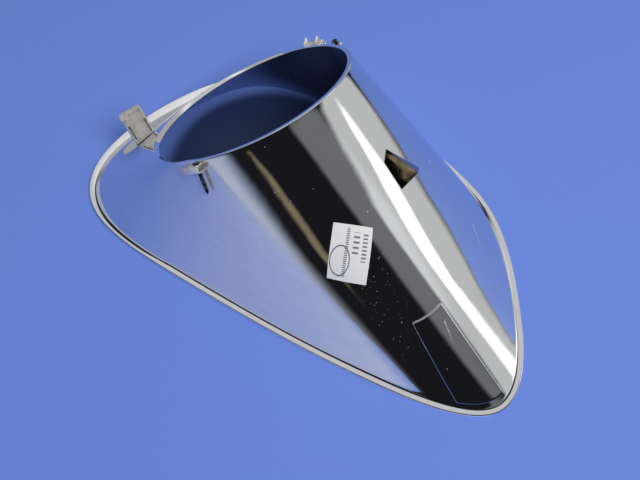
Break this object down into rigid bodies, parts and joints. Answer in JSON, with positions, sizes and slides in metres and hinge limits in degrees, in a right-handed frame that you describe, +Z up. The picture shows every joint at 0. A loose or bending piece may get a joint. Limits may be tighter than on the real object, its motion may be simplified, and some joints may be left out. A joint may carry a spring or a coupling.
{
  "type": "cowl vent",
  "caption": "Chrome-plated cowl vent: open egg-shaped flanged foot, ruled scoop walls rising to a round leaning mouth, with fastening clips round the rim.",
  "frame": {"origin": "centre of the part's box at the underside of the foot flange", "axes": "+X towards the narrow nose, +Z up from the foot, and the mouth leans back towards -X"},
  "size_m": [0.2395, 0.152, 0.0774],
  "materials": {
    "chrome": "mirror chrome plate over a moulding",
    "spring_steel": "bright spring strip",
    "dark_steel": "black-finished screw",
    "paper": "plain matt paper label"
  },
  "bodies": {
    "root": {"cowl_shell": "chrome", "side_catch": "chrome", "nose_plate": "chrome", "tower_clip": "spring_steel", "near_clip": "spring_steel", "far_clip": "spring_steel", "near_screw": "dark_steel", "far_screw": "dark_steel", "label": "paper"}
  },
  "joints": []
}
